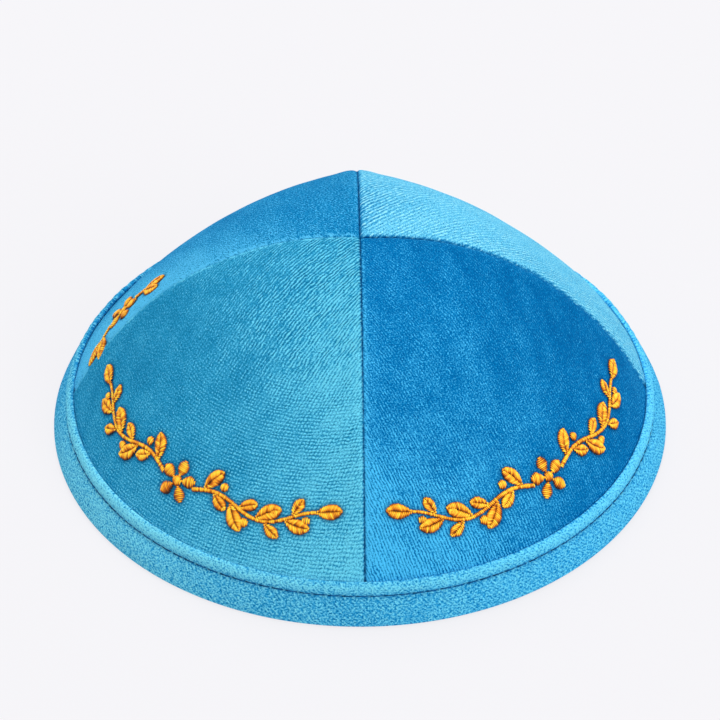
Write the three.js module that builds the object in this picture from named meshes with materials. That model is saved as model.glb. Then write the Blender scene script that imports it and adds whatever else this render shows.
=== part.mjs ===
// A sewn four-panel velvet skullcap. Four gores meet in a point at the crown, and their
// lower edge is bound with a folded rim band that has a piped roll above its stitched ditch.
// Millimetres, +Z up, the front towards -Y. The origin is the rim's centre, on the surface
// that the cap lies on, and the seams run to the front, right, back and left.
import * as THREE from "three";

// Driving dimensions
const rimRadius = 88; // widest radius of the rim band
const crownHeight = 66.2; // where the four seams meet
const bandTop = { radius: 81.8, height: 11.1 }; // where the velvet goes in under the band
const bandFlare = THREE.MathUtils.degToRad(27.5); // the band's lean from upright
const velvetThickness = 1.8; // face cloth with its backing
const clearance = 0.3; // gap that neighbouring pieces keep
const tuckedDepth = 9.5; // how far a panel reaches down inside the band

// A panel's height over its radius, along its two seams and along its middle.
// The middle lies lower than the seams, so the crown is a little square.
const panelProfile = [
  { radius: 12, seamHeight: 66.0, middleHeight: 65.8 },
  { radius: 26, seamHeight: 63.6, middleHeight: 62.9 },
  { radius: 40, seamHeight: 58.0, middleHeight: 55.8 },
  { radius: 53, seamHeight: 49.5, middleHeight: 44.8 },
  { radius: 65, seamHeight: 37.7, middleHeight: 32.6 },
  { radius: 74, seamHeight: 25.5, middleHeight: 22.0 },
];

// How the velvet turns down into a seam: distance from the seam's own gap, and the drop there
const seamRoll = [
  { distance: 0, drop: 0.85 },
  { distance: 0.45, drop: 0.3 },
  { distance: 1.7, drop: 0 },
];

// The band's section, clockwise from the edge that lies on the velvet. "along" runs down the
// band's slope from the top edge, and "out" is the height over the velvet's outer face.
const bandSection = [
  { along: 0, out: clearance },
  { along: -0.35, out: 0.7 },
  { along: -0.15, out: 1.15 },
  { along: 0.6, out: 1.55 },
  { along: 1.8, out: 1.6 },
  { along: 2.9, out: 1.2 },
  { along: 3.7, out: 0.6 },
  { along: 4.4, out: 0.9 },
  { along: 5.5, out: 1.2 },
  { along: 7, out: 1.35 },
  { along: 8.6, out: 1.35 },
  { along: 10.2, out: 1.25 },
  { along: 11.4, out: 1.05 },
  { along: 12.2, out: 0.6 },
  { along: "foot", out: 0.1 },
  { along: "foot", out: -2.5 },
  { along: 10.5, out: -3.3 },
  { along: 9.5, out: -3.6 },
  { along: 1.1, out: -3.6 },
  { along: 0.5, out: -3.3 },
  { along: 0.35, out: -2.65 },
  { along: 0.8, out: -velvetThickness - clearance },
  { along: tuckedDepth + 0.4, out: -velvetThickness - clearance },
  { along: tuckedDepth + 0.4, out: clearance },
];

// How finely the shapes are cut
const panelRows = 13; // down a panel, above the band
const tuckedRows = 2; // down a panel, inside the band
const panelColumns = 16; // across a panel, between its rolled edges
const bandSegments = 80;

// A point of the band's slope as radius and height, from its place along and out of the slope
function onSlope(along, out) {
  return new THREE.Vector2(
    bandTop.radius + along * Math.sin(bandFlare) + out * Math.cos(bandFlare),
    bandTop.height - along * Math.cos(bandFlare) + out * Math.sin(bandFlare),
  );
}

// A smooth meridian from the crown to the band, through one column of the table
function meridian(column) {
  return new THREE.SplineCurve([
    new THREE.Vector2(0, crownHeight),
    ...panelProfile.map((row) => new THREE.Vector2(row.radius, row[column])),
    new THREE.Vector2(bandTop.radius, bandTop.height),
  ]);
}

const seamMeridian = meridian("seamHeight");
const middleMeridian = meridian("middleHeight");

// 0 on a seam and 1 half way to the next one, with the crease that four flat gores would have
function middleShare(angle) {
  return (Math.abs(Math.cos(angle)) + Math.abs(Math.sin(angle)) - 1) / (Math.SQRT2 - 1);
}

// The outer face at an angle, t from 0 at the crown to 1 at the band, and on down the slope
function outerPoint(t, angle) {
  if (t > 1) return onSlope((t - 1) * tuckedDepth, 0);
  const seam = seamMeridian.getPoint(t);
  return seam.lerp(middleMeridian.getPoint(t), middleShare(angle));
}

// The outer face lowered by a depth, square to the meridian
function loweredPoint(t, angle, depth) {
  const step = 0.002;
  const above = outerPoint(Math.max(t - step, 0), angle);
  const below = outerPoint(Math.min(t + step, 2), angle);
  const down = below.sub(above).normalize();
  return outerPoint(t, angle).add(new THREE.Vector2(down.y, -down.x).multiplyScalar(depth));
}

// Angles of a panel's columns where its radius is r, each with the drop of the rolled edge
function columnsAt(radius) {
  const widest = radius * Math.SQRT1_2;
  const rolled = seamRoll.map(({ distance, drop }, k) => ({
    angle: Math.asin(Math.min(clearance / 2 + distance, widest * (0.1 + 0.15 * k)) / radius),
    drop,
  }));
  const first = rolled.at(-1).angle;
  const last = Math.PI / 2 - first;
  const middle = [];
  for (let k = 1; k < panelColumns; k++) {
    middle.push({ angle: first + ((last - first) * k) / panelColumns, drop: 0 });
  }
  const mirrored = rolled.map(({ angle, drop }) => ({ angle: Math.PI / 2 - angle, drop }));
  return [...rolled, ...middle, ...mirrored.reverse()];
}

// One gore as a closed shell, from the seam at +X round to the seam at +Y
function panelGeometry() {
  const positions = [];
  const triangles = [];
  const addPoint = (point, angle) => {
    positions.push(point.x * Math.cos(angle), point.x * Math.sin(angle), point.y);
    return positions.length / 3 - 1;
  };

  // The crown's corner, one point on each face
  const crownT = 0.004;
  const corner = Math.PI / 4;
  const outerCorner = addPoint(loweredPoint(crownT, corner, seamRoll[0].drop), corner);
  const innerCorner = addPoint(loweredPoint(crownT, corner, velvetThickness), corner);

  // Rows of points down the outer and the inner face
  const outerRows = [];
  const innerRows = [];
  for (let row = 1; row <= panelRows + tuckedRows; row++) {
    const t = row <= panelRows ? row / panelRows : 1 + (row - panelRows) / tuckedRows;
    const columns = columnsAt(outerPoint(t, 0).x);
    outerRows.push(columns.map(({ angle, drop }) => addPoint(loweredPoint(t, angle, drop), angle)));
    innerRows.push(
      columns.map(({ angle }) => addPoint(loweredPoint(t, angle, velvetThickness), angle)),
    );
  }

  // Skins the two faces, then the walls along both seams and the lower edge
  const addQuad = (a, b, c, d) => triangles.push(a, b, c, a, c, d);
  const lastColumn = outerRows[0].length - 1;
  for (let k = 0; k < lastColumn; k++) {
    triangles.push(outerCorner, outerRows[0][k], outerRows[0][k + 1]);
    triangles.push(innerCorner, innerRows[0][k + 1], innerRows[0][k]);
  }
  for (let row = 0; row + 1 < outerRows.length; row++) {
    const [outer, outerNext] = [outerRows[row], outerRows[row + 1]];
    const [inner, innerNext] = [innerRows[row], innerRows[row + 1]];
    for (let k = 0; k < lastColumn; k++) {
      addQuad(outer[k], outerNext[k], outerNext[k + 1], outer[k + 1]);
      addQuad(inner[k], inner[k + 1], innerNext[k + 1], innerNext[k]);
    }
    addQuad(outer[0], inner[0], innerNext[0], outerNext[0]);
    addQuad(outer[lastColumn], outerNext[lastColumn], innerNext[lastColumn], inner[lastColumn]);
  }
  addQuad(outerCorner, innerCorner, innerRows[0][0], outerRows[0][0]);
  addQuad(outerCorner, outerRows[0][lastColumn], innerRows[0][lastColumn], innerCorner);
  const [outerEnd, innerEnd] = [outerRows.at(-1), innerRows.at(-1)];
  for (let k = 0; k < lastColumn; k++) {
    addQuad(outerEnd[k], innerEnd[k], innerEnd[k + 1], outerEnd[k + 1]);
  }

  const geometry = new THREE.BufferGeometry();
  geometry.setAttribute("position", new THREE.Float32BufferAttribute(positions, 3));
  geometry.setIndex(triangles);
  geometry.computeVertexNormals();
  return geometry;
}

// The rim band: its section turned once round the cap. A "foot" point lies on the floor.
function bandGeometry() {
  const outline = bandSection.map(({ along, out }) => {
    if (along !== "foot") return onSlope(along, out);
    const reach = (bandTop.height + out * Math.sin(bandFlare)) / Math.cos(bandFlare);
    return onSlope(reach, out).setY(0);
  });
  const widest = Math.max(...outline.map((point) => point.x));
  const trimmed = outline.map((point) => point.setX(point.x + rimRadius - widest));
  const profile = [...trimmed, trimmed[0]].reverse();
  return new THREE.LatheGeometry(profile, bandSegments).rotateX(Math.PI / 2);
}

// Velvet that shows its nap light or dark, by how each panel was cut
const velvet = (color) => new THREE.MeshStandardMaterial({ color, roughness: 0.95, metalness: 0 });

// The panels, named by where they lie, each turned from the +X to +Y quarter
const panels = [
  { name: "panel_back_right", quarterTurns: 0, color: "#62c6ed" },
  { name: "panel_back_left", quarterTurns: 1, color: "#2590c7" },
  { name: "panel_front_left", quarterTurns: 2, color: "#43a9d3" },
  { name: "panel_front_right", quarterTurns: 3, color: "#1486c6" },
];

const skullcap = new THREE.Group();
for (const { name, quarterTurns, color } of panels) {
  const panel = new THREE.Mesh(panelGeometry(), velvet(color));
  panel.name = name;
  panel.rotation.z = (quarterTurns * Math.PI) / 2;
  skullcap.add(panel);
}

const band = new THREE.Mesh(bandGeometry(), velvet("#48acd8"));
band.name = "rim_band";
skullcap.add(band);

export default skullcap;
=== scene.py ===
# A velvet skullcap: four gores sewn to a point, a bound rim and embroidered garlands.
# It lies on its rim on a pale table. Sizes are in millimetres, and in metres for the camera,
# the lights and the table.
import functools
import math
import random

import bmesh
import bpy
from mathutils import Matrix, Vector, noise
from mathutils.kdtree import KDTree


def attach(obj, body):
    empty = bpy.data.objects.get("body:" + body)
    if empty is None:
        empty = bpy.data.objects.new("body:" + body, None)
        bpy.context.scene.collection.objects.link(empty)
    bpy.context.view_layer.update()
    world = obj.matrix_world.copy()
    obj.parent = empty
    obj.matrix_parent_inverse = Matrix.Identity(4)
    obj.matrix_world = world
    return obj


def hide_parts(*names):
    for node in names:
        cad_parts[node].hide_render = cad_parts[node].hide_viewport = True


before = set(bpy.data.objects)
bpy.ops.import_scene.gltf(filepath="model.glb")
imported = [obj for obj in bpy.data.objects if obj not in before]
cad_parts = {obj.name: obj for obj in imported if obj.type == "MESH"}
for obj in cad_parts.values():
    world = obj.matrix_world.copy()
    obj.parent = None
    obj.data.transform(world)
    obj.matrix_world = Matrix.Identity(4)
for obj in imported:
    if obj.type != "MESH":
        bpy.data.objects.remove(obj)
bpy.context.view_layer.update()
mm = 0.001
quarter = math.pi / 2


# Colours and nodes

def colour(hexCode, alpha=1.0):  # sRGB hex to the linear values that shaders take
    channels = [int(hexCode[k:k + 2], 16) / 255 for k in (1, 3, 5)]
    linear = [c / 12.92 if c <= 0.04045 else ((c + 0.055) / 1.055) ** 2.4 for c in channels]
    return (*linear, alpha)


def addNode(tree, kind, settings=None, inputs=None):
    node = tree.nodes.new(kind)
    for name, value in (settings or {}).items():
        setattr(node, name, value)
    for key, value in (inputs or {}).items():
        if isinstance(value, bpy.types.NodeSocket):
            tree.links.new(value, node.inputs[key])
        else:
            node.inputs[key].default_value = value
    return node


# Camera, light and table

photoView = {
    "azimuth": math.radians(-0.93),
    "elevation": math.radians(39.66),
    "distance": 1.136,
    "targetHeight": 0.0216,
    "lens": 199.3,
    "sensorWidth": 36,
    "farLimit": 20,
}
studio = {
    "air": "#f7f8fb",  # light that comes from all round, as in a white tent
    "airStrength": 0.76,
    "table": "#f2f1f4",
    "tableSize": 4,
    "tableRoughness": 0.9,
    "tableGlow": 0.88,  # share of its whiteness that is lit from below, which drowns shadows
    "overheadPower": 19.5,
    "overheadSize": 1.3,
    "overheadPlace": (-0.2, 0.8, 1.6),
    "frontPower": 12.5,
    "frontSize": 0.9,
    "frontPlace": (1.0, -1.1, 1.0),
}


def addLamp(name, place, size, power):
    lamp = bpy.data.lights.new(name, "AREA")
    lamp.size = size
    lamp.energy = power
    holder = bpy.data.objects.new(name, lamp)
    holder.location = place
    holder.rotation_euler = (-Vector(place)).to_track_quat("-Z", "Y").to_euler()
    bpy.context.scene.collection.objects.link(holder)


def makeStudio():
    scene = bpy.context.scene
    lens = bpy.data.cameras.new("photoCamera")
    lens.sensor_fit = "HORIZONTAL"
    lens.sensor_width = photoView["sensorWidth"]
    lens.lens = photoView["lens"]
    lens.clip_end = photoView["farLimit"]
    camera = bpy.data.objects.new("photoCamera", lens)
    flat = math.cos(photoView["elevation"])
    back = Vector((
        flat * math.sin(photoView["azimuth"]),
        -flat * math.cos(photoView["azimuth"]),
        math.sin(photoView["elevation"]),
    ))
    camera.location = Vector((0, 0, photoView["targetHeight"])) + back * photoView["distance"]
    camera.rotation_euler = (-back).to_track_quat("-Z", "Y").to_euler()
    scene.collection.objects.link(camera)
    scene.camera = camera

    world = bpy.data.worlds.new("whiteTent")
    world.use_nodes = True
    sky = world.node_tree.nodes["Background"]
    sky.inputs["Color"].default_value = colour(studio["air"])
    sky.inputs["Strength"].default_value = studio["airStrength"]
    scene.world = world
    scene.view_settings.view_transform = "Standard"

    addLamp("overhead", studio["overheadPlace"], studio["overheadSize"], studio["overheadPower"])
    addLamp("front", studio["frontPlace"], studio["frontSize"], studio["frontPower"])

    bm = bmesh.new()
    bmesh.ops.create_grid(bm, x_segments=2, y_segments=2, size=studio["tableSize"])
    mesh = bpy.data.meshes.new("table")
    bm.to_mesh(mesh)
    bm.free()
    table = bpy.data.objects.new("table", mesh)
    scene.collection.objects.link(table)
    acrylic = bpy.data.materials.new("litAcrylicTable")  # a white light table
    acrylic.use_nodes = True
    shader = acrylic.node_tree.nodes["Principled BSDF"]
    white = colour(studio["table"])
    dull = [c * (1 - studio["tableGlow"]) for c in white[:3]]
    shader.inputs["Base Color"].default_value = (*dull, 1)
    shader.inputs["Emission Color"].default_value = white
    shader.inputs["Emission Strength"].default_value = studio["tableGlow"]
    shader.inputs["Roughness"].default_value = studio["tableRoughness"]
    shader.inputs["Specular IOR Level"].default_value = 0.0
    mesh.materials.append(acrylic)
    print("studio ready")


# The cap's form, as in the solids

cap = {
    "crownHeight": 66.2,
    "bandTopRadius": 81.8,
    "bandTopHeight": 11.1,
    "bandFlare": math.radians(27.5),  # the band's lean from upright
    "velvetThickness": 1.8,
    "tuckedDepth": 9.3,  # velvet hidden under the band
}
panelProfile = [
    {"radius": 12, "seamHeight": 66.0, "middleHeight": 65.8},
    {"radius": 26, "seamHeight": 63.6, "middleHeight": 62.9},
    {"radius": 40, "seamHeight": 58.0, "middleHeight": 55.8},
    {"radius": 53, "seamHeight": 49.5, "middleHeight": 44.8},
    {"radius": 65, "seamHeight": 37.7, "middleHeight": 32.6},
    {"radius": 74, "seamHeight": 25.5, "middleHeight": 22.0},
]
seam = {
    "gap": 0.004,  # from a panel's folded edge to the seam's own plane
    "creaseWidth": 0.3,
    "stitchPitch": 3.9,
    "pucker": 0.35,  # share of the crease's depth that comes and goes with each stitch
    "rollDrop": 0.3,
    "rollWidth": 1.0,
    "allowanceWidth": 6.5,  # cloth turned back inside, on each side of a seam
    "allowanceEdge": 0.5,
    "allowanceRise": 0.25,  # how far it lifts the face above it
    "allowanceMiddle": 3.2,
    "allowanceSpread": 2.4,
    "allowanceThickness": 0.7,
    "foldWidth": 0.8,
    "overRise": 0.22,  # how far the pile that hangs over the other panel's stands up
    "overMiddle": 0.5,
    "overSpread": 0.9,
    # The painted shade in the crease and on the pile that hangs over, and the painted sheen along
    # the edges
    "overShade": 0.8,
    "shadeWidth": 0.3,
    "shadeRange": (0.75, 0.9),  # its usual strength, and how much that wanders
    "shadePatch": 1.3,
    "shadeSeed": 9.1,
    "crownReach": (0.1, 0.35),  # where the shade goes over from the crown's to the seam's own
    "fringeMiddle": 0.7,
    "fringeSpread": 0.6,
    "fringeRange": (0.5, 1.2),
    "fringePatch": 0.9,
    "fringeSeed": 5.3,
    "threadSize": (0.9, 0.3, 0.3),  # length, width and rise
    "threadDepth": 0.75,
}
# The right, back, left and front seam: how deep each is and how dark the painted shade in its
# crease, how light the painted sheen on its brushed edges, and which panel's pile hangs over the
# other's, with a painted shade on it
seamWays = [
    {"depth": 0.5, "dark": 0.3, "crownDark": 1.0, "fringe": 0.15,
     "shaded": 0.5, "over": "back_right"},
    {"depth": 0.8, "dark": 0.85, "crownDark": 0.9, "fringe": 0.1,
     "shaded": 0.5, "over": "back_right"},
    {"depth": 0.4, "dark": 0.2, "crownDark": 0.35, "fringe": 0.6,
     "shaded": 0, "over": "front_left"},
    {"depth": 0.8, "dark": 0.95, "crownDark": 0.7, "fringe": 0.3,
     "shaded": 0.25, "over": "front_left"},
]
# Unevenness of the cloth, which dies away where the band holds it
slack = {
    "broad": 0.4,
    "broadSize": 34,
    "fine": 0.1,
    "fineSize": 8,
    "heldFrom": 1.05,
    "heldOver": 0.15,
}


def meridian(column):
    points = [Vector((0, cap["crownHeight"]))]
    points += [Vector((row["radius"], row[column])) for row in panelProfile]
    return points + [Vector((cap["bandTopRadius"], cap["bandTopHeight"]))]


meridians = {"seam": meridian("seamHeight"), "middle": meridian("middleHeight")}


def splinePoint(points, t):  # a smooth curve through points, t from 0 to 1
    last = len(points) - 1
    k = min(int(t * last), last - 1)
    f = t * last - k
    before, a, b, after = (points[min(max(k + step, 0), last)] for step in (-1, 0, 1, 2))
    return 0.5 * (
        2 * a + (b - before) * f + (2 * before - 5 * a + 4 * b - after) * f ** 2
        + (3 * a - before - 3 * b + after) * f ** 3
    )


def onSlope(along, out):  # radius and height of a point on the band's slope
    flare = cap["bandFlare"]
    return Vector((
        cap["bandTopRadius"] + along * math.sin(flare) + out * math.cos(flare),
        cap["bandTopHeight"] - along * math.cos(flare) + out * math.sin(flare),
    ))


@functools.lru_cache(maxsize=None)
def meridianPair(t):
    return splinePoint(meridians["seam"], t), splinePoint(meridians["middle"], t)


def formPoint(angle, t):  # t is 0 at the crown, 1 at the band, and more under the band
    if t > 1:
        section = onSlope((t - 1) * cap["tuckedDepth"], 0)
    else:
        atSeam, atMiddle = meridianPair(round(t, 6))
        middle = (abs(math.cos(angle)) + abs(math.sin(angle)) - 1) / (math.sqrt(2) - 1)
        section = atSeam.lerp(atMiddle, middle)
    return Vector((section.x * math.cos(angle), section.x * math.sin(angle), section.y))


def formNormal(angle, t):
    turn, step = 0.01, 0.004
    t = max(t, 0.02)
    inQuarter = angle % quarter
    angle += min(max(inQuarter, turn), quarter - turn) - inQuarter  # stay off the seam's ridge
    across = formPoint(angle + turn, t) - formPoint(angle - turn, t)
    down = formPoint(angle, t + step) - formPoint(angle, t - step)
    return down.cross(across).normalized()


@functools.lru_cache(maxsize=None)
def seamRadius(t):
    return formPoint(0, t).x


@functools.lru_cache(maxsize=None)
def firstQuarter(angle, t):
    return formPoint(angle, t), formNormal(angle, t)


def clothPoint(angle, t):  # the velvet's face with its unevenness, and the way it faces
    turn = math.floor(angle / quarter + 1e-9)
    spin = Matrix.Rotation(turn * quarter, 3, "Z")
    point, normal = (spin @ v for v in firstQuarter(round(angle - turn * quarter, 7), round(t, 7)))
    lift = slack["broad"] * noise.noise(point / slack["broadSize"])
    lift += slack["fine"] * noise.noise(point / slack["fineSize"])
    held = min(1, max(0, (slack["heldFrom"] - t) / slack["heldOver"]))
    return point + normal * lift * held, normal


def arcTable(steps=400):  # length of a panel's middle, from the crown down
    lengths = [0.0]
    for k in range(steps):
        a, b = (formPoint(quarter / 2, (k + f) / steps) for f in (0, 1))
        lengths.append(lengths[-1] + (b - a).length)
    return lengths


arcLengths = arcTable()


def arcAt(t):
    if t > 1:
        return arcLengths[-1] + (t - 1) * cap["tuckedDepth"]
    place = t * (len(arcLengths) - 1)
    k = min(int(place), len(arcLengths) - 2)
    return arcLengths[k] + (arcLengths[k + 1] - arcLengths[k]) * (place - k)


def depthAt(arc):  # the t of a point that lies that far from the crown
    low, high = 0.0, 1.0
    for _ in range(24):
        middle = (low + high) / 2
        low, high = (middle, high) if arcAt(middle) < arc else (low, middle)
    return low


# Velvet

def smooth(low, high, value):
    f = min(1, max(0, (value - low) / (high - low)))
    return f * f * (3 - 2 * f)


def hump(value, middle, spread):  # 1 at the middle, dying away on both sides
    return math.exp(-((value - middle) / spread) ** 2)


def sameWay(angle, other):  # smallest turn between two directions
    return abs((angle - other + math.pi) % (2 * math.pi) - math.pi)


# Cut velvet on a ribbed knit ground: matt, with a pile whose lean makes it light or dark under the
# light, which is painted into its colour as sheen and shade, fine ribs that show where the pile is
# short, and tufts that break them into dashes
bandsPerMm = 2 * math.pi / 20  # a wave texture of this scale has one band in each millimetre
velvetLook = {
    "rowPitch": 0.95,
    # width across the ribs, length along them, degrees off them, and detail
    "tuft": (0.75, 2.0, 4, 2),
    "cloud": (9, 14.4, 20, 3),
    "wear": (4.5, 6.0, -15, 2),
    # colour of the painted shade in creases, seams, the rim's ditch and round the embroidery
    "crease": "#00407c",
    "rightBlueLight": (0.76, 1.0, 1.12, 1),  # painted bluer light: multiplies the colour on the band's right side
    "roughness": 0.9,
    "specular": 0.02,
    "sheen": 0.07,
    "sheenRoughness": 0.4,
    "sheenTint": "#2fa8ff",
}
# The same velvet for each panel and the band: their shade, body and light colours differ by the
# sheen and shade that the pile's lean gives them under the light, painted in
velvets = {
    "front_left": {"shade": "#006a98", "body": "#269dce", "light": "#76e4ff", "ribPitch": 1.0,
                   "rib": 0.9, "grain": 0.42, "strandTurn": 32, "fibre": 1.2, "strand": 0.5,
                   "cloud": 0.28, "relief": 0.27},
    "front_right": {"shade": "#005290", "body": "#0076b4", "light": "#4dc4f8", "ribPitch": 0.9,
                    "rib": 0.9, "grain": 0.42, "strandTurn": 32, "fibre": 1.3, "strand": 0.6,
                    "cloud": 0.36, "relief": 0.14},
    "back_left": {"shade": "#0064a2", "body": "#0c8cc7", "light": "#5ccaf8", "ribPitch": 0.9,
                  "rib": 0.8, "grain": 0.5, "strandTurn": 32, "fibre": 1.9, "strand": 0.8,
                  "cloud": 0.3, "relief": 0.18},
    "back_right": {"shade": "#0c80bf", "body": "#62d0f8", "light": "#aef6ff", "ribPitch": 1.35,
                   "rib": 0.85, "grain": 0.45, "strandTurn": 32, "fibre": 1.5, "strand": 0.45,
                   "cloud": 0.2, "relief": 0.22},
    "band": {"shade": "#0069a8", "body": "#219fda", "light": "#82e8ff", "ribPitch": 0.9,
             "rib": 0.3, "grain": 0.54, "strandTurn": -45, "fibre": 1.3, "strand": 1.0,
             "cloud": 0.15, "relief": 0.3},
}


def velvetMaterial(name, look):
    material = bpy.data.materials.new(name)
    material.use_nodes = True
    tree = material.node_tree
    shader = tree.nodes["Principled BSDF"]
    cloth = addNode(tree, "ShaderNodeUVMap", {"uv_map": "cloth"}).outputs[0]  # in millimetres
    values = {key: addNode(tree, "ShaderNodeAttribute", {"attribute_name": key}).outputs["Fac"]
              for key in ("nap", "rib", "rows", "crease", "rightBlueLight")}
    grain = look["grain"]
    speckles = {
        "tuft": velvetLook["tuft"],
        "fibre": (grain, grain, 0, 3),
        "strand": (grain * 0.8, grain * 2, look["strandTurn"], 2),
        "cloud": velvetLook["cloud"],
        "wear": velvetLook["wear"],
    }
    for key, (width, length, turn, detail) in speckles.items():
        stretched = addNode(tree, "ShaderNodeMapping", {"vector_type": "TEXTURE"}, {
            "Vector": cloth, "Scale": (width, length, 1), "Rotation": (0, 0, math.radians(turn)),
        }).outputs[0]
        values[key] = addNode(tree, "ShaderNodeTexNoise", {}, {
            "Vector": stretched, "Scale": 1.0, "Detail": detail, "Roughness": 0.7,
        }).outputs["Fac"]
    pitches = {"ribs": ("X", look["ribPitch"]), "courses": ("Y", velvetLook["rowPitch"])}
    for key, (way, pitch) in pitches.items():
        values[key] = addNode(tree, "ShaderNodeTexWave", {"bands_direction": way}, {
            "Vector": cloth, "Scale": bandsPerMm / pitch, "Distortion": 5.0, "Detail": 2.0,
            "Detail Scale": 0.9, "Detail Roughness": 0.6,
        }).outputs["Fac"]
    steps = [
        # Ribs that tufts break into dashes, or that courses break into bumps
        ("gaps", "MULTIPLY_ADD", "tuft", 4.6, -1.3),
        ("dashes", "MULTIPLY", "ribs", "gaps"),
        ("softRibs", "MULTIPLY_ADD", "ribs", 0.7, 0.3),
        ("softCourses", "MULTIPLY_ADD", "courses", 0.9, 0.1),
        ("bumps", "MULTIPLY", "softRibs", "softCourses"),
        ("between", "SUBTRACT", "bumps", "dashes"),
        ("ground", "MULTIPLY_ADD", "between", "rows", "dashes"),
        ("ground", "SUBTRACT", "ground", 0.42),
        ("ground", "MULTIPLY", "ground", "rib"),
        ("clear", "MULTIPLY_ADD", "wear", 3, -0.5),
        ("ground", "MULTIPLY", "ground", "clear"),
        # The height of the pile, mostly within half a unit of 0
        ("height", "MULTIPLY", "ground", look["rib"]),
        ("fibre", "SUBTRACT", "fibre", 0.5),
        ("height", "MULTIPLY_ADD", "fibre", 2 * look["fibre"], "height"),
        ("strand", "SUBTRACT", "strand", 0.5),
        ("height", "MULTIPLY_ADD", "strand", 2 * look["strand"], "height"),
        # Its lean, painted on the cloth with the sheen and shade it gives under the light, with
        # clouds and the tufts' own scatter
        ("lean", "MULTIPLY_ADD", "height", 0.95, "nap"),
        ("cloud", "SUBTRACT", "cloud", 0.5),
        ("lean", "MULTIPLY_ADD", "cloud", 2 * look["cloud"], "lean"),
        ("dulled", "MULTIPLY", "lean", 2),
        ("lit", "MULTIPLY_ADD", "lean", 2, -1),
    ]
    for result, operation, *terms in steps:
        values[result] = addNode(tree, "ShaderNodeMath", {"operation": operation}, {
            k: values.get(term, term) for k, term in enumerate(terms)}).outputs[0]
    bump = addNode(tree, "ShaderNodeBump", {}, {
        "Height": values["height"], "Distance": look["relief"] * mm, "Strength": 1.0,
    }).outputs[0]
    dull = addNode(tree, "ShaderNodeMix", {"data_type": "RGBA"}, {
        0: values["dulled"], 6: colour(look["shade"]), 7: colour(look["body"]),
    }).outputs[2]
    pile = addNode(tree, "ShaderNodeMix", {"data_type": "RGBA"}, {
        0: values["lit"], 6: dull, 7: colour(look["light"]),
    }).outputs[2]
    # painted shade in creases, seams, the rim's ditch and round the embroidery
    deep = addNode(tree, "ShaderNodeMix", {"data_type": "RGBA"}, {
        0: values["crease"], 6: pile, 7: colour(velvetLook["crease"]),
    }).outputs[2]
    # painted bluer light on the band's right side
    rightBlueLight = addNode(tree, "ShaderNodeMix", {"data_type": "RGBA", "blend_type": "MULTIPLY"}, {
        0: values["rightBlueLight"], 6: deep, 7: velvetLook["rightBlueLight"],
    }).outputs[2]
    tree.links.new(rightBlueLight, shader.inputs["Base Color"])
    tree.links.new(bump, shader.inputs["Normal"])
    shader.inputs["Roughness"].default_value = velvetLook["roughness"]
    shader.inputs["Specular IOR Level"].default_value = velvetLook["specular"]
    shader.inputs["Sheen Weight"].default_value = velvetLook["sheen"]
    shader.inputs["Sheen Roughness"].default_value = velvetLook["sheenRoughness"]
    shader.inputs["Sheen Tint"].default_value = colour(velvetLook["sheenTint"])
    return material


# The velvet's wrong side: a plain knitted back in the same dye, flat and matt
backingLook = {
    "pitches": (("X", 0.8), ("Y", 0.6)),
    "shade": "#1d6b98",
    "light": "#4fa6cf",
    "relief": 0.12,
}


def backingMaterial():
    material = bpy.data.materials.new("velvetBacking")
    material.use_nodes = True
    tree = material.node_tree
    shader = tree.nodes["Principled BSDF"]
    cloth = addNode(tree, "ShaderNodeUVMap", {"uv_map": "cloth"}).outputs[0]
    loops = [
        addNode(tree, "ShaderNodeTexWave", {"bands_direction": way}, {
            "Vector": cloth, "Scale": bandsPerMm / pitch, "Distortion": 1.0,
            "Detail": 2.0, "Detail Scale": 1.5,
        }).outputs["Fac"]
        for way, pitch in backingLook["pitches"]
    ]
    knit = addNode(tree, "ShaderNodeMath", {"operation": "MULTIPLY"}, {
        0: loops[0], 1: loops[1],
    }).outputs[0]
    tone = addNode(tree, "ShaderNodeMix", {"data_type": "RGBA"}, {
        0: knit, 6: colour(backingLook["shade"]), 7: colour(backingLook["light"]),
    }).outputs[2]
    bump = addNode(tree, "ShaderNodeBump", {}, {
        "Height": knit, "Distance": backingLook["relief"] * mm, "Strength": 0.7,
    }).outputs[0]
    tree.links.new(tone, shader.inputs["Base Color"])
    tree.links.new(bump, shader.inputs["Normal"])
    shader.inputs["Roughness"].default_value = 0.95
    shader.inputs["Specular IOR Level"].default_value = 0.1
    return material


# Rayon embroidery thread or polyester sewing thread: its colour carries a painted highlight along
# its back, painted light towards its upper end, and painted shade at its sides and at the holes
# where it dives into the cloth
threadLook = {
    "holeShade": (0.15, 0.55),  # tones from the painted shade at the hole to the thread's own colour
    "lit": (0.38, 0.98),
    "fade": 0.75,  # painted light gained from end to end
    "dive": 0.75,  # painted shade lost at both ends
    "round": (1.2, 0.8),  # painted highlight along the back, and painted shade lost at the sides
}


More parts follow.
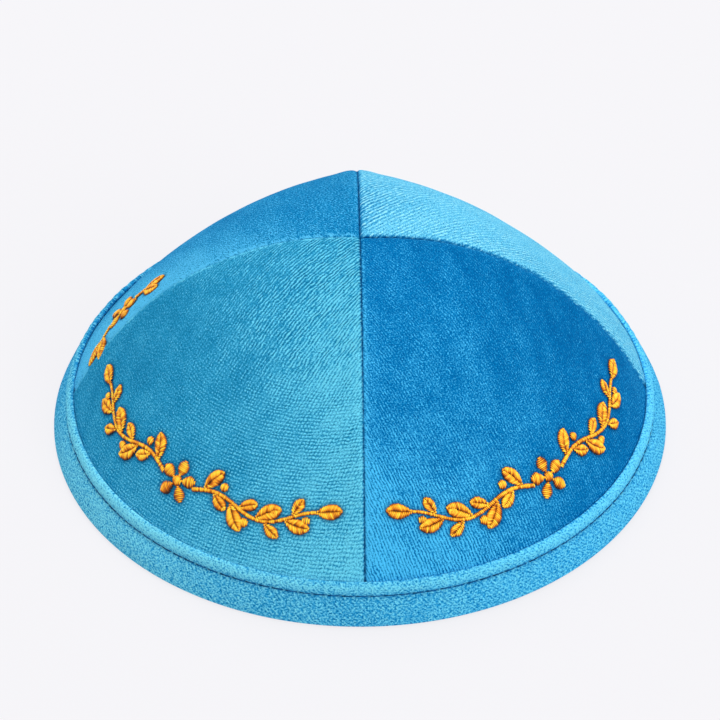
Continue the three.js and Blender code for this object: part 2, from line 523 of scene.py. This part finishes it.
def threadMaterial(name, holeShade, shade, light, gloss):
    material = bpy.data.materials.new(name)
    material.use_nodes = True
    tree = material.node_tree
    shader = tree.nodes["Principled BSDF"]
    tone = addNode(tree, "ShaderNodeAttribute", {"attribute_name": "tone"}).outputs["Fac"]
    sunk = addNode(tree, "ShaderNodeMapRange", {}, {
        "Value": tone, "From Min": threadLook["holeShade"][0], "From Max": threadLook["holeShade"][1],
    }).outputs[0]
    lit = addNode(tree, "ShaderNodeMapRange", {}, {
        "Value": tone, "From Min": threadLook["lit"][0], "From Max": threadLook["lit"][1],
    }).outputs[0]
    dyed = addNode(tree, "ShaderNodeMix", {"data_type": "RGBA"}, {
        0: lit, 6: colour(shade), 7: colour(light),
    }).outputs[2]
    mixed = addNode(tree, "ShaderNodeMix", {"data_type": "RGBA"}, {
        0: sunk, 6: colour(holeShade), 7: dyed,
    }).outputs[2]
    tree.links.new(mixed, shader.inputs["Base Color"])
    shader.inputs["Roughness"].default_value = 0.75 - 0.5 * gloss
    shader.inputs["Specular IOR Level"].default_value = 0.5 * gloss
    return material


# Threads: one short arch of thread, laid again and again

threadForm = {
    "sides": 6,
    "cuts": 5,
    "tipWidth": 0.3,  # share of the width lost at the ends
    "tipThickness": 0.4,
    "thickness": 0.6,
    "arch": 0.85,
    "sunk": 0.1,
}


def arcedThread():  # about 1 long, 1 wide and 1 high, with its ends at the height 0
    form = threadForm
    bm = bmesh.new()
    bmesh.ops.create_cone(
        bm, cap_ends=True, segments=form["sides"], radius1=0.5, radius2=0.5, depth=1)
    bmesh.ops.rotate(bm, verts=bm.verts, matrix=Matrix.Rotation(quarter, 3, "Y"))
    lengthwise = [e for e in bm.edges if abs(e.verts[0].co.x - e.verts[1].co.x) > 0.5]
    bmesh.ops.subdivide_edges(bm, edges=lengthwise, cuts=form["cuts"], use_grid_fill=True)
    for v in bm.verts:
        reach = abs(2 * v.co.x)
        v.co.x = 0.5 * math.copysign(math.sin(min(reach, 1) * quarter), v.co.x)
        reach = abs(2 * v.co.x)
        arch = form["arch"] * (1 - reach ** 2.4) ** 0.8
        v.co.y *= 1 - form["tipWidth"] * reach ** 6
        v.co.z = form["thickness"] * v.co.z * (1 - form["tipThickness"] * reach ** 6)
        v.co.z += arch - form["sunk"]
    bmesh.ops.recalc_face_normals(bm, faces=bm.faces)
    mesh = bpy.data.meshes.new("arcedThread")
    bm.to_mesh(mesh)
    bm.free()
    return mesh


threadShape = arcedThread()


def layThreads(name, threads, material):
    # Each thread is (middle, direction, facing, length, width, rise, tone)
    bm = bmesh.new()
    toneLayer = bm.verts.layers.float.new("tone")
    middleTone, sideLoss = threadLook["round"]
    for _ in threads:
        bm.from_mesh(threadShape)
    bm.verts.ensure_lookup_table()
    count = len(threadShape.vertices)
    for k, (middle, direction, facing, length, width, rise, tone) in enumerate(threads):
        side = facing.cross(direction)
        place = Matrix.Translation(middle * mm) @ (Matrix(
            (direction * length, side * width, facing * rise)).transposed() * mm).to_4x4()
        for v in bm.verts[k * count:(k + 1) * count]:
            # its own random tone, with painted light towards the upper end, painted shade at the
            # ends and sides, and a painted highlight along the back
            v[toneLayer] = (tone + threadLook["fade"] * v.co.x) * (
                1 - threadLook["dive"] * abs(2 * v.co.x) ** 3) * (
                middleTone - sideLoss * abs(2 * v.co.y))
            v.co = place @ v.co
    finish(name, bm, [material])


def finish(name, bm, materials):
    for face in bm.faces:
        face.smooth = True
    mesh = bpy.data.meshes.new(name)
    bm.to_mesh(mesh)
    bm.free()
    for material in materials:
        mesh.materials.append(material)
    piece = bpy.data.objects.new(name, mesh)
    bpy.context.scene.collection.objects.link(piece)
    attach(piece, "root")
    return piece


# The garland: satin-stitched leaves, petals and berries on a thin stem, drawn flat with x
# round the cap and y up it, from the garland's own middle

garland = {
    "threadPitch": 0.5,  # a little coarser than life, so that it shows
    "threadWidth": 0.52,
    "threadRise": (0.34, 0.1),  # how high a thread arches, and what each millimetre adds
    "chordShare": 0.7,  # how far it leaves the cloth's curve for a straight line
    "slant": math.radians(12),
    "stemWidth": 1.25,
    "stemStart": 5.5,
    "wave": 1.9,
    "waveLength": 30,
    "leafSlant": 0.55,  # how far a leaf's threads point forward
    "petals": 5,
    "petalStart": 1.5,
    "petalLength": 4.6,
    "petalWidth": 3.5,
    "heart": 2.9,  # the berry in the middle of the flower
    "tipLength": 7.2,  # the leaf at each end of the stem
    "tipWidth": 3.9,
    "shortest": 0.5,  # threads shorter than this are left out
    "lookAhead": 0.02,
}
# On each panel: degrees from its middle, height over the band, tilt, and where the stems end
garlandPlaces = {
    "front_left": (1, 14.6, 0, 43),
    "front_right": (-1, 14.6, 0, 43),
    "back_left": (37, 23, -69, 10),
}
# Along one half of the stem: place, side, degrees off the stem, length, width and bend
garlandLeaves = [
    (9.0, 1, 52, 7.4, 4.0, 26), (12.2, -1, 50, 5.6, 3.2, 22),
    (18.0, -1, 48, 7.8, 4.2, 26), (20.6, 1, 52, 5.4, 3.1, 20),
    (26.0, 1, 48, 7.6, 4.1, 26), (28.8, -1, 50, 5.2, 3.0, 20),
    (34.2, -1, 46, 7.0, 3.8, 24), (36.4, 1, 48, 5.0, 2.9, 20),
]
# Place, side, height over the stem and size
garlandBerries = [
    (15.0, 1, 2.3, 2.4), (23.4, -1, 2.3, 2.4), (31.6, 1, 2.2, 2.3), (40.4, -1, 2.0, 2.2),
]


def leafSpine(start, heading, length, bend):  # a line that curls by bend from its heading
    points = [start]
    steps = 16
    for k in range(steps):
        way = heading + bend * (k + 0.5) / steps
        points.append(points[-1] + Vector((math.cos(way), math.sin(way))) * length / steps)
    return lambda s: splinePoint(points, min(max(s, 0), 1))


def headingAt(spine, s):
    ahead = garland["lookAhead"]
    return (spine(s + ahead) - spine(s - ahead)).normalized()


def satinAcross(spine, width, length, slant):  # threads laid right across a stroke
    count = max(4, round(length / garland["threadPitch"]))
    stitches = []
    for k in range(count):
        s = (k + 0.5) / count
        forward = headingAt(spine, s)
        cross = Matrix.Rotation(quarter + slant, 2) @ forward
        reach = width(s)
        if reach > garland["shortest"]:
            stitches.append((spine(s), cross, reach))
    return stitches


def satinLeaf(spine, width, length):  # two rows of threads that meet along the midrib
    count = max(4, round(length / garland["threadPitch"]))
    stitches = []
    for k in range(count):
        s = (k + 0.5) / count
        forward = headingAt(spine, s)
        for side in (1, -1):
            reach = width * math.sin(math.pi * s ** 0.85) ** 0.8 / 2
            if reach > garland["shortest"] / 2:
                away = Vector((-forward.y, forward.x)) * side * reach
                away += forward * reach * garland["leafSlant"]
                stitches.append((spine(s) + away / 2, away.normalized(), away.length + 0.15))
    return stitches


def stemPoint(x):
    rise = math.sin((abs(x) - garland["stemStart"]) / garland["waveLength"] * 2 * math.pi)
    return Vector((x, garland["wave"] * rise))


def petalWidth(s):
    return garland["petalWidth"] * math.sin(math.pi * s ** 1.2) ** 0.7


def stemWidth(s):
    return garland["stemWidth"] * (1 - 0.3 * s)


def garlandStitches(stemEnd):
    stitches = []
    petalLength = garland["petalLength"]
    for petal in range(garland["petals"]):
        way = math.radians(90 + 360 // garland["petals"] * petal)
        start = Vector((math.cos(way), math.sin(way))) * garland["petalStart"]
        spine = leafSpine(start, way, petalLength, 0)
        stitches += satinAcross(spine, petalWidth, petalLength, 0)
    stitches += berry(Vector((0, 0)), garland["heart"])
    span = stemEnd - garland["stemStart"]
    for side in (1, -1):
        def stem(s):
            return stemPoint(side * (garland["stemStart"] + span * s))

        stitches += satinAcross(stem, stemWidth, span * 1.03, garland["slant"])
        for x, up, heading, length, width, bend in garlandLeaves:
            if x > stemEnd:
                continue
            tangent = stemPoint(side * (x + 0.5)) - stemPoint(side * (x - 0.5))
            along = math.atan2(tangent.y, tangent.x)
            turn = math.radians(heading) * up * side
            start = stemPoint(side * x) + (Matrix.Rotation(turn, 2) @ tangent.normalized()) * 0.5
            curl = -math.radians(bend) * up * side
            stitches += satinLeaf(leafSpine(start, along + turn, length, curl), width, length)
        for x, up, off, size in garlandBerries:
            if x > stemEnd:
                continue
            stitches += berry(stemPoint(side * x) + Vector((0, up * off)), size)
        tip = stemPoint(side * stemEnd)
        tangent = tip - stemPoint(side * (stemEnd - 1))
        way = math.atan2(tangent.y, tangent.x)
        tipLength = garland["tipLength"]
        stitches += satinLeaf(leafSpine(tip, way, tipLength, 0), garland["tipWidth"], tipLength)
    return stitches


def berry(middle, size):
    def spine(s):
        return middle + Vector(((s - 0.5) * size, 0))

    def width(s):
        return size * math.sqrt(max(0, 1 - (2 * s - 1) ** 2)) + 0.1

    return satinAcross(spine, width, size, 0)


def onGarland(middleAngle, name, spot):  # from the flat drawing to an angle and a depth
    aside, height, tilt, _ = garlandPlaces[name]
    turned = Matrix.Rotation(math.radians(tilt), 2) @ spot
    middleAngle += math.radians(aside)
    midline = formPoint(middleAngle, depthAt(arcLengths[-1] - height))
    return middleAngle + turned.x / midline.xy.length, depthAt(arcLengths[-1] - height - turned.y)


def garlandThreads(middleAngle, name, shuffle):
    threads = []
    lowest, steeper = garland["threadRise"]
    for spot, cross, reach in garlandStitches(garlandPlaces[name][3]):
        place, facing = clothPoint(*onGarland(middleAngle, name, spot))
        ends = [clothPoint(*onGarland(middleAngle, name, spot + cross * reach * side / 2))[0]
                for side in (1, -1)]
        direction = (ends[0] - ends[1]).normalized()
        if direction.z < 0:  # every thread starts at its lower end, so its painted light grows upwards
            direction.negate()
        facing = (facing - direction * facing.dot(direction)).normalized()
        middle = place.lerp((ends[0] + ends[1]) / 2, garland["chordShare"])
        width = garland["threadWidth"] * shuffle.uniform(0.88, 1.12)
        rise = lowest + steeper * reach + shuffle.uniform(-0.05, 0.05)
        length = reach * shuffle.uniform(0.97, 1.03) + shuffle.uniform(0, 0.3)
        tone = shuffle.uniform(0.52, 1.12)
        threads.append((middle, direction, facing, length, width, rise, tone))
    return threads


# Panels

gore = {
    "columns": 140,
    "rows": 140,
    "edgeCrowding": 0.9,  # columns lie closer towards the seams
    "tuckShare": 0.08,  # of the rows lie under the band
    "edgeLimit": 0.7,  # keeps the columns apart near the crown
    "atCrown": 1e-6,
}
# How a thread presses the pile down round itself, and the shade painted there
press = {"depth": 0.12, "reach": 0.6, "dark": 0.55, "threadHalf": 0.3, "threads": 2}

# How each panel's pile was brushed and catches the light: place across and down it, reach across
# and down, and what that adds to its lightness, partly the pile's lean and partly painted sheen and
# shade, and to its ribs. Rows are courses that cross the ribs.
panels = [
    {"name": "back_right", "nap": 0.5, "rib": 0.35, "rows": 0, "brushedSheen": [
        (0.5, 0.75, 0.5, 0.4, 0.03, -0.15), (0.9, 0.12, 0.4, 0.22, -0.16, 0.6),
        (0.08, 0.6, 0.12, 0.5, -0.04, 0.2)]},
    {"name": "back_left", "nap": 0.4, "rib": 0.2, "rows": 0, "brushedSheen": [
        (0.97, 0.75, 0.2, 0.42, 0.68, 0.2), (0.0, 0.2, 0.1, 0.4, 0.06, 0),
        (0.5, 0.9, 0.4, 0.2, 0.12, 0)]},
    {"name": "front_left", "nap": 0.48, "rib": 0.55, "rows": 1, "brushedSheen": [
        (1.0, 0.65, 0.28, 0.5, 0.36, 0.35), (0.65, 0.12, 0.5, 0.3, 0.03, 0.5),
        (0.8, 1.02, 0.45, 0.12, 0.26, 0.1), (0.12, 0.7, 0.35, 0.45, -0.08, -0.42)]},
    {"name": "front_right", "nap": 0.39, "rib": 0.2, "rows": 0.15, "brushedSheen": [
        (0.0, 0.95, 0.36, 0.28, 0.49, 0.7), (0.0, 0.5, 0.05, 0.5, 0.12, 0),
        (0.35, 0.5, 0.35, 0.25, 0.07, 0), (0.9, 0.55, 0.28, 0.5, -0.1, 0)]},
]


def spreadColumns(u):
    return u - gore["edgeCrowding"] * math.sin(2 * math.pi * u) / (2 * math.pi)


def seamShape(panel, which, distance, t):  # the lift that a seam gives the cloth, the painted shade in its crease and the painted sheen and shade along its edges
    way = seamWays[which]
    arc = arcAt(t)
    stitch = 0.5 + 0.5 * math.cos(2 * math.pi * arc / seam["stitchPitch"])
    usual, wander = seam["shadeRange"]
    patchy = usual + wander * noise.noise(
        Vector((which * seam["shadeSeed"], arc / seam["shadePatch"], 0)))
    depth = way["depth"] * (1 + seam["pucker"] * (stitch - 0.5))
    lift = -depth * math.exp(-distance / seam["creaseWidth"])
    lift -= seam["rollDrop"] * hump(distance, 0, seam["rollWidth"])
    lift += seam["allowanceRise"] * hump(distance, seam["allowanceMiddle"], seam["allowanceSpread"])
    if way["over"] == panel["name"]:
        lift += seam["overRise"] * hump(distance, seam["overMiddle"], seam["overSpread"])
    # painted shade in the crease, going over to the crown's own strength near the top
    dark = way["dark"] + (way["crownDark"] - way["dark"]) * (1 - smooth(*seam["crownReach"], t))
    shade = dark * patchy * hump(distance, 0, seam["shadeWidth"])
    usual, wander = seam["fringeRange"]
    fringe = usual + wander * noise.noise(
        Vector((which * seam["fringeSeed"], arc / seam["fringePatch"], distance)))
    # lighter pile along the edges and darker pile where one panel's hangs over: painted sheen and
    # painted shade
    edgeSheenAndShade = way["fringe"] * fringe * hump(distance, seam["fringeMiddle"], seam["fringeSpread"])
    if way["over"] == panel["name"]:
        edgeSheenAndShade -= way["shaded"] * (0.4 + fringe) * hump(distance, 0, seam["overShade"])
    return lift, min(max(shade, 0), 1), edgeSheenAndShade


def makeGore(panel, turn, embroidery, materials):
    bm = bmesh.new()
    bmesh.ops.create_grid(bm, x_segments=gore["columns"], y_segments=gore["rows"], size=0.5)
    acrossLayer = bm.verts.layers.float.new("across")
    downLayer = bm.verts.layers.float.new("down")
    outerLayer = bm.verts.layers.float.new("outer")
    placeLayer = bm.verts.layers.float_vector.new("place")
    facingLayer = bm.verts.layers.float_vector.new("facing")
    napLayer = bm.verts.layers.float.new("nap")
    ribLayer = bm.verts.layers.float.new("rib")
    rowsLayer = bm.verts.layers.float.new("rows")
    creaseLayer = bm.verts.layers.float.new("crease")
    uvLayer = bm.loops.layers.uv.new("cloth")
    start = turn * quarter
    tuckShare = gore["tuckShare"]

    def across(v, t):  # its angle, and how far it is from the nearer seam
        radius = seamRadius(t)
        edge = math.asin(min(gore["edgeLimit"], seam["gap"] / max(radius, seam["gap"])))
        angle = start + edge + (quarter - 2 * edge) * v[acrossLayer]
        nearest = min(angle - start, start + quarter - angle)
        return angle, radius * math.sin(nearest)

    def below(v):  # the grid's row as the form's t
        row = v[downLayer]
        if row <= 1 - tuckShare:
            return row / (1 - tuckShare)
        return 1 + (row - 1 + tuckShare) / tuckShare

    for v in bm.verts:
        v[acrossLayer] = spreadColumns(v.co.x + 0.5)
        v[downLayer] = 0.5 - v.co.y
        angle, _ = across(v, below(v))
        place, facing = clothPoint(angle, below(v))
        if v[downLayer] < gore["atCrown"]:
            middle = start + quarter / 2
            place = Vector((math.cos(middle), math.sin(middle), 0)) * seam["gap"] * math.sqrt(2)
            place += Vector((0, 0, cap["crownHeight"]))
        v[placeLayer], v[facingLayer] = place, facing
    result = bmesh.ops.extrude_face_region(bm, geom=bm.faces[:])
    for v in result["geom"]:
        if isinstance(v, bmesh.types.BMVert):
            v[outerLayer] = 1

    needles = KDTree(len(embroidery))
    for k, thread in enumerate(embroidery):
        needles.insert(thread[0], k)
    needles.balance()
    for v in bm.verts:
        t = below(v)
        angle, distance = across(v, t)
        place, facing = v[placeLayer].copy(), v[facingLayer].copy()
        which = (turn if angle - start < quarter / 2 else turn + 1) % 4
        if v[outerLayer]:
            lift, v[creaseLayer], edgeSheenAndShade = seamShape(panel, which, distance, t)
            # the pile's lightness: partly its lean, partly painted sheen and shade
            v[napLayer] = panel["nap"] + edgeSheenAndShade
            v[ribLayer] = panel["rib"]
            for u, down, uReach, downReach, paintedLightness, clearer in panel["brushedSheen"]:
                share = hump(v[acrossLayer], u, uReach) * hump(t, down, downReach)
                v[napLayer] += share * paintedLightness
                v[ribLayer] += share * clearer
            v[rowsLayer] = panel["rows"] * smooth(0.4, 0.65, t)
            if embroidery and t < 1:
                for spot, k, _ in needles.find_n(place, press["threads"]):
                    _, direction, _, length, _, _, _ = embroidery[k]
                    off = place - spot
                    along = max(0, abs(off.dot(direction)) - length / 2)
                    aside = (off - direction * off.dot(direction)).length - press["threadHalf"]
                    pressed = hump(math.hypot(along, max(0, aside)), 0, press["reach"])
                    lift -= press["depth"] * pressed
                    # painted shade round the thread
                    v[creaseLayer] = max(v[creaseLayer], press["dark"] * pressed)
            v.co = (place + facing * lift) * mm
        else:
            width = seam["allowanceWidth"]
            turned = 1 - smooth(width - seam["allowanceEdge"], width, distance)
            fold = math.exp(-distance / seam["foldWidth"])
            depth = cap["velvetThickness"] + seam["allowanceThickness"] * (turned - fold)
            radial = Vector((math.cos(angle), math.sin(angle), 0)) * facing.xy.length
            v.co = (place - (radial + Vector((0, 0, facing.z))) * depth) * mm

    for face in bm.faces:
        face.material_index = 1 if all(not v[outerLayer] for v in face.verts) else 0
        for loop in face.loops:
            t = min(below(loop.vert), 2)
            swing = (loop.vert[acrossLayer] - 0.5) * quarter
            loop[uvLayer].uv = (swing * seamRadius(min(t, 1)), arcAt(t))
    crown = [v for v in bm.verts if v[downLayer] < gore["atCrown"]]
    bmesh.ops.remove_doubles(bm, verts=crown, dist=0.0001 * mm)
    piece = finish("velvet_gore_" + panel["name"], bm, materials)
    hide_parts("panel_" + panel["name"])


# Rim binding

binding = {
    "steps": 900,
    "faceLoops": 34,
    "insideLoops": 18,
    "slotDepth": 9.8,
    "stitchPitch": 3.9,
    "stitchRadius": 85.0,  # at which the stitches are spaced
    "ditch": 3.7,  # places down the slope, as are the next four
    "ditchSpread": 0.9,
    "creaseSpread": 0.4,
    "roll": 1.3,
    "rollSpread": 1.5,
    "puckerDepth": 0.16,
    "plump": 0.12,  # how far the roll swells between two stitches
    "wander": ((0.22, 14), (0.1, 4)),  # unevenness: how far, and over what size
    "rollWander": ((0.2, 3), (0.16, 1.1)),
    "patch": 1.4,
    "crease": (0.2, 0.6),  # its painted shade, and what a stitch adds
    "insideApart": 20,  # keeps the inner face's cloth clear of the outer's
    "rib": 0.6,
    # How light the band's pile is: partly its lean, partly painted sheen and shade, with a painted
    # highlight on the roll and painted light towards the right
    "nap": 0.36,
    "rollHighlight": 0.24,
    "rightLight": 0.37,
    "right": math.radians(-10),
    "lowLeftNap": 0.4,
    "lowLeft": math.radians(208),
    "lowLeftSpread": 0.65,
    "rightBlueLightReach": math.radians(100),
}
# Topstitches: height over the slope and which way they face, outside and inside
topstitch = {"rows": ((0.52, 1), (-3.38, -1)), "share": 0.8, "width": 0.34, "rise": 0.3}
# The outer face from the fold on the velvet down to the foot, then the inner face back up
bindingOutside = [
    (0.25, 0.05), (-0.3, 0.45), (-0.25, 1.05), (0.5, 1.55), (1.8, 1.7), (2.9, 1.3), (3.55, 0.72),
    (3.85, 0.72), (4.5, 0.95), (5.6, 1.25), (7.2, 1.4), (9.0, 1.4), (10.6, 1.25), (11.7, 0.95),
    (12.3, 0.45),
]
bindingInside = [
    (11.0, -2.6), (10.4, -3.3), (9.2, -3.6), (6.4, -3.7), (4.2, -3.55), (3.7, -3.3), (3.2, -3.55),
    (1.6, -3.7), (0.6, -3.4), (0.35, -2.7), (0.8, -2.1),
]


def unevenness(spot, waves):  # each wave is how far it goes, and its size
    return sum(reach * noise.noise(spot / size) for reach, size in waves)


def makeBinding(materials):
    section = []
    for corners, loops in ((bindingOutside, "faceLoops"), (bindingInside, "insideLoops")):
        points = [Vector(corner) for corner in corners]
        count = binding[loops]
        section += [splinePoint(points, k / count) for k in range(count + 1)]
    slot = binding["slotDepth"]  # takes the gores' lower edges
    section += [Vector((slot, -2.1)), Vector((slot, 0.3)), Vector((5.0, 0.15))]
    bm = bmesh.new()
    ring = []
    for along, out in section:
        radius, height = onSlope(along, out)
        ring.append(bm.verts.new((0, -radius * mm, max(height, 0) * mm)))
    edges = [bm.edges.new((a, b)) for a, b in zip(ring, ring[1:] + ring[:1])]
    bmesh.ops.spin(bm, geom=ring + edges, cent=(0, 0, 0), axis=(0, 0, 1), dvec=(0, 0, 0),
                   angle=2 * math.pi, steps=binding["steps"], use_merge=True)
    bmesh.ops.recalc_face_normals(bm, faces=bm.faces)

    napLayer = bm.verts.layers.float.new("nap")
    ribLayer = bm.verts.layers.float.new("rib")
    rightBlueLightLayer = bm.verts.layers.float.new("rightBlueLight")
    creaseLayer = bm.verts.layers.float.new("crease")
    uvLayer = bm.loops.layers.uv.new("cloth")
    flare = cap["bandFlare"]
    outward = Vector((math.cos(flare), math.sin(flare)))
    downward = Vector((math.sin(flare), -math.cos(flare)))
    rimArc = binding["stitchRadius"]
    usual, added = binding["crease"]
    flatPlace = {}
    for v in bm.verts:
        angle = math.atan2(v.co.y, v.co.x)
        here = Vector((v.co.xy.length, v.co.z)) / mm
        fromTop = here - Vector((cap["bandTopRadius"], cap["bandTopHeight"]))
        along, out = fromTop.dot(downward), fromTop.dot(outward)
        flatPlace[v] = (angle, along - (0 if out > 0 else binding["insideApart"]))
        stitch = 0.5 + 0.5 * math.cos(angle * rimArc * 2 * math.pi / stitchSpan())
        ditch = hump(along, binding["ditch"], binding["ditchSpread"])
        roll = hump(along, binding["roll"], binding["rollSpread"])
        spot = v.co / mm
        if out > 0.35 and along < 12:
            wander = unevenness(spot, binding["wander"])
            wander *= smooth(0.35, 1.2, out) * (1 - smooth(9, 12, along))
            out += wander - binding["puckerDepth"] * ditch * stitch
            out += binding["plump"] * roll * (1 - stitch)
            along += roll * unevenness(spot, binding["rollWander"])
            # painted shade in the ditch, deeper at each stitch
            patchy = 0.5 + noise.noise(Vector((angle * rimArc / binding["patch"], 0, 0)))
            shade = max(0, usual + added * stitch * patchy)
            v[creaseLayer] = shade * hump(along, binding["ditch"], binding["creaseSpread"])
        elif out < -3 and along < 9:
            out += binding["puckerDepth"] * ditch * stitch
        # the pile's lightness: partly its lean, partly painted sheen and shade, with a painted
        # highlight on the roll and painted light towards the right
        towardsRight = math.cos(angle - binding["right"])
        v[napLayer] = binding["nap"] + binding["rollHighlight"] * roll
        v[napLayer] += binding["rightLight"] * (0.5 + 0.5 * towardsRight)
        v[napLayer] += binding["lowLeftNap"] * hump(
            sameWay(angle, binding["lowLeft"]), 0, binding["lowLeftSpread"])
        v[ribLayer] = binding["rib"]
        # painted bluer light, towards the right
        v[rightBlueLightLayer] = smooth(math.cos(binding["rightBlueLightReach"]), 1, towardsRight)
        moved = onSlope(along, out)
        if v.co.z > 0.05 * mm:
            level = moved.x * mm
            v.co = (level * math.cos(angle), level * math.sin(angle), max(moved.y, 0) * mm)
    for face in bm.faces:
        middle = math.atan2(face.calc_center_median().y, face.calc_center_median().x)
        for loop in face.loops:
            angle, along = flatPlace[loop.vert]
            turn = middle + (angle - middle + math.pi) % (2 * math.pi) - math.pi
            flat = Vector((turn * rimArc, along))
            loop[uvLayer].uv = Matrix.Rotation(quarter / 2, 2) @ flat  # cut on the bias
    piece = finish("rim_binding", bm, materials)
    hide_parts("rim_band")


def stitchCount():
    return round(2 * math.pi * binding["stitchRadius"] / binding["stitchPitch"])


def stitchSpan():  # the stitch pitch, made to go round a whole number of times
    return 2 * math.pi * binding["stitchRadius"] / stitchCount()


def topstitches(shuffle):
    threads = []
    count = stitchCount()
    length = stitchSpan() * topstitch["share"]
    flare = cap["bandFlare"]
    for out, facingOut in topstitch["rows"]:
        for k in range(count):
            angle = (k + 0.5) * 2 * math.pi / count
            radius, height = onSlope(binding["ditch"], out)
            around = Vector((-math.sin(angle), math.cos(angle), 0))
            level = math.cos(flare)
            facing = Vector((level * math.cos(angle), level * math.sin(angle), math.sin(flare)))
            facing *= facingOut
            middle = Vector((radius * math.cos(angle), radius * math.sin(angle), height))
            tone = shuffle.uniform(0.5, 1.0)
            threads.append(
                (middle, around, facing, length, topstitch["width"], topstitch["rise"], tone))
    return threads


def seamStitches(shuffle):
    threads = []
    count = int(arcLengths[-1] / seam["stitchPitch"])
    for turn in range(4):
        angle = turn * quarter
        across = Vector((-math.sin(angle), math.cos(angle), 0))
        for k in range(1, count):
            t = depthAt((k + 0.5) * seam["stitchPitch"])
            place, facing = clothPoint(angle, t)
            facing = (facing - across * facing.dot(across)).normalized()
            middle = place - facing * seam["threadDepth"]
            threads.append(
                (middle, across, facing, *seam["threadSize"], shuffle.uniform(0.4, 0.9)))
    return threads


makeStudio()
shuffle = random.Random(7)
backing = backingMaterial()
cloths = {name: velvetMaterial("cutVelvet_" + name, look) for name, look in velvets.items()}
# each thread's first colour is the painted shade at its holes, its last the painted highlight
gold = threadMaterial("rayonThreadOrange", "#3a1a06", "#ff8400", "#fff044", 0.5)
navy = threadMaterial("polyesterThreadBlue", "#04264d", "#0a457c", "#186ba6", 0.1)

for turn, panel in enumerate(panels):
    threads = []
    if panel["name"] in garlandPlaces:
        threads = garlandThreads((turn + 0.5) * quarter, panel["name"], shuffle)
        layThreads("garland_" + panel["name"], threads, gold)
    makeGore(panel, turn, threads, [cloths[panel["name"]], backing])
    print("gore", panel["name"], "with", len(threads), "embroidery threads")

makeBinding([cloths["band"]])
layThreads("rim_topstitching", topstitches(shuffle), navy)
layThreads("seam_stitching", seamStitches(shuffle), navy)
print("binding and stitches laid")
